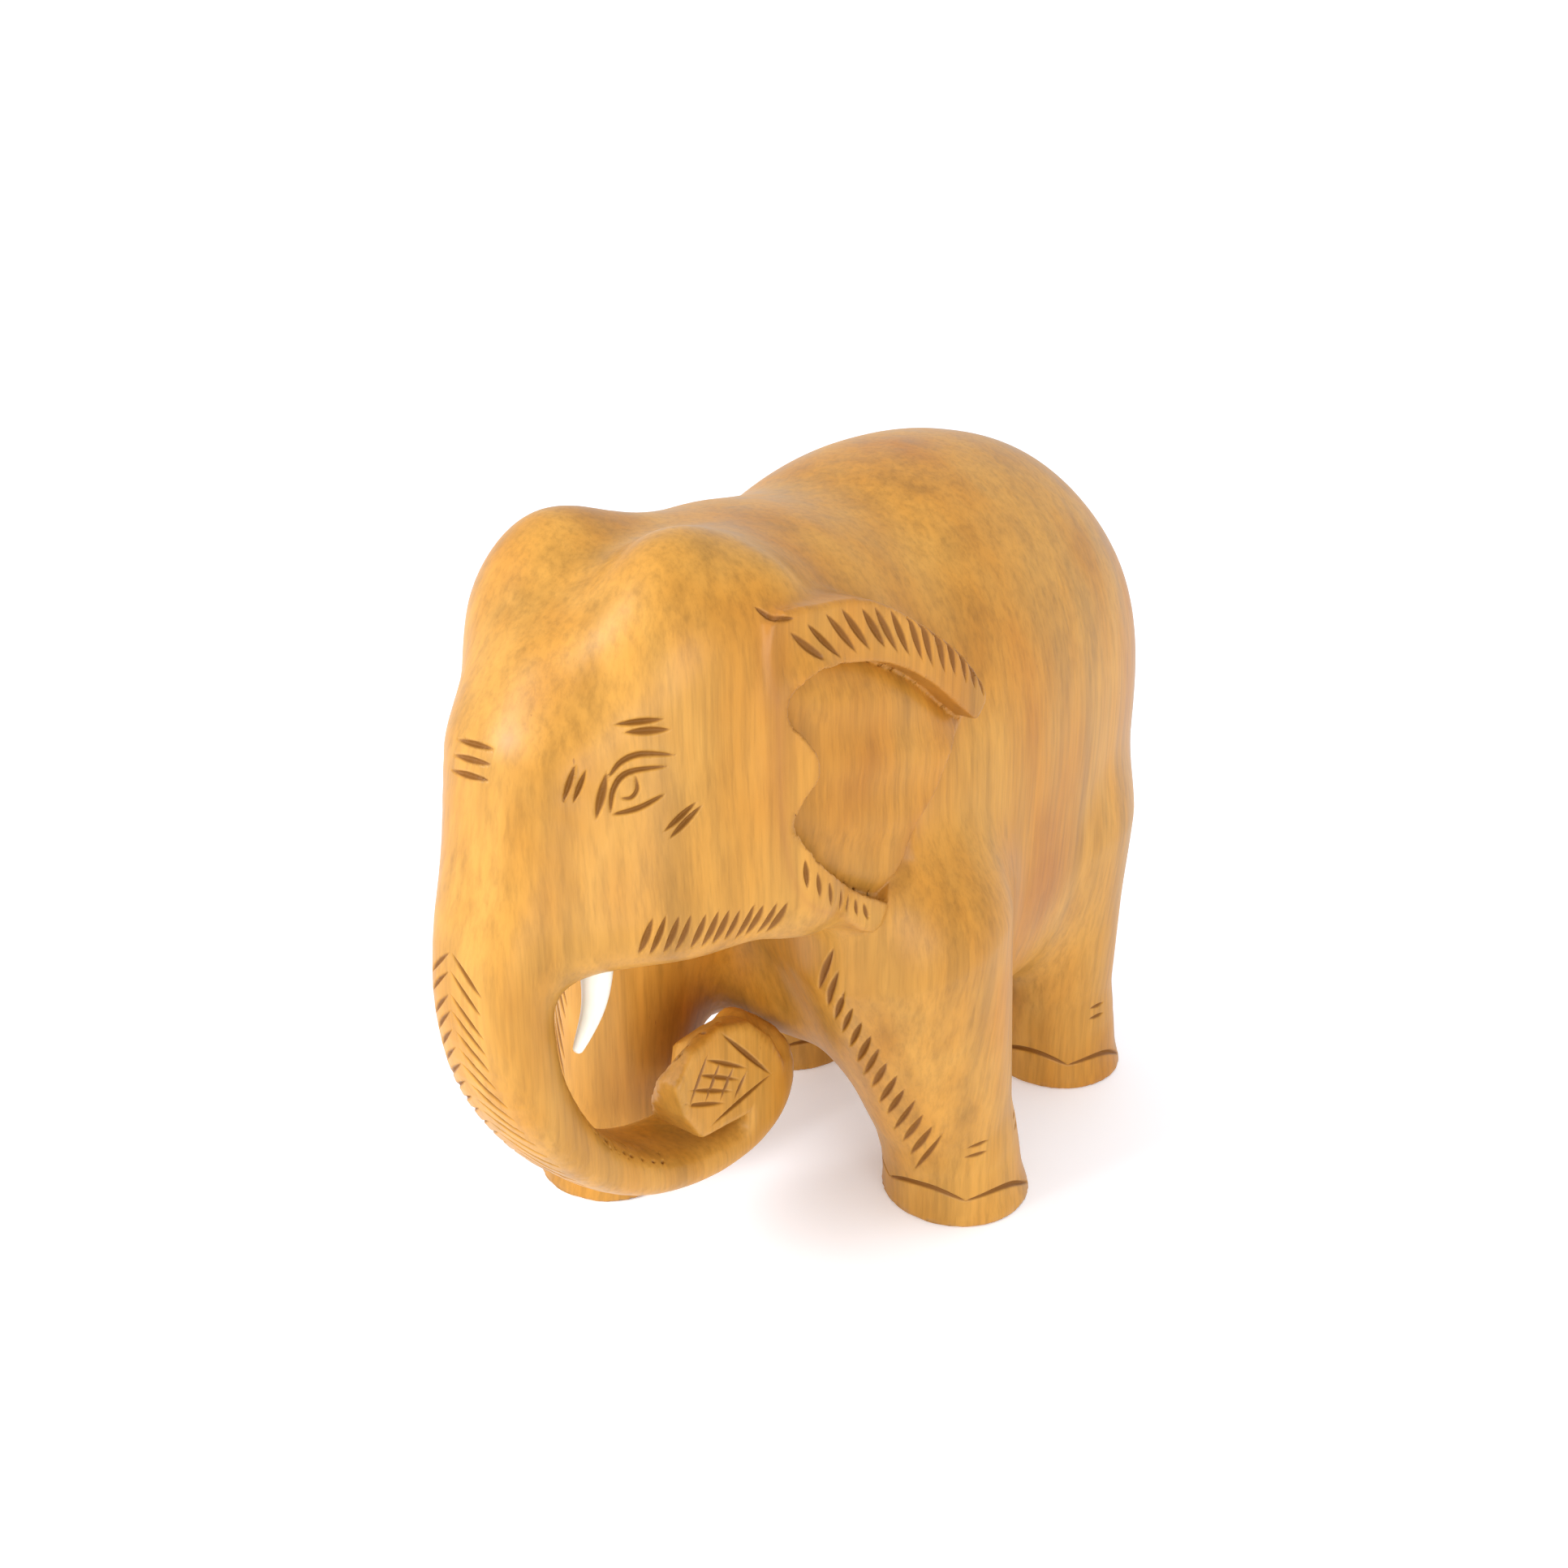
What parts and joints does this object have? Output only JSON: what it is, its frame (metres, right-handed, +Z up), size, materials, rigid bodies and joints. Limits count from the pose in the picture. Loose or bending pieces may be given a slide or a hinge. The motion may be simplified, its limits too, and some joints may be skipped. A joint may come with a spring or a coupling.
{
  "type": "carved wooden elephant figurine",
  "caption": "Standing elephant carved from one block of pale wood, with a curled trunk, incised ears, eyes and feet, and white tusks glued into drilled sockets.",
  "frame": {"origin": "on the ground under the centre of the figure's bounding box", "axes": "+Z up, the elephant faces -Y, and +X is towards its own left side"},
  "size_m": [0.0604, 0.121, 0.095],
  "materials": {
    "carved_wood": "wax-polished satin, hand carved",
    "white_tusk": "smooth satin"
  },
  "bodies": {
    "root": {"carved_body": "carved_wood", "tusk_left": "white_tusk", "tusk_right": "white_tusk"}
  },
  "joints": []
}
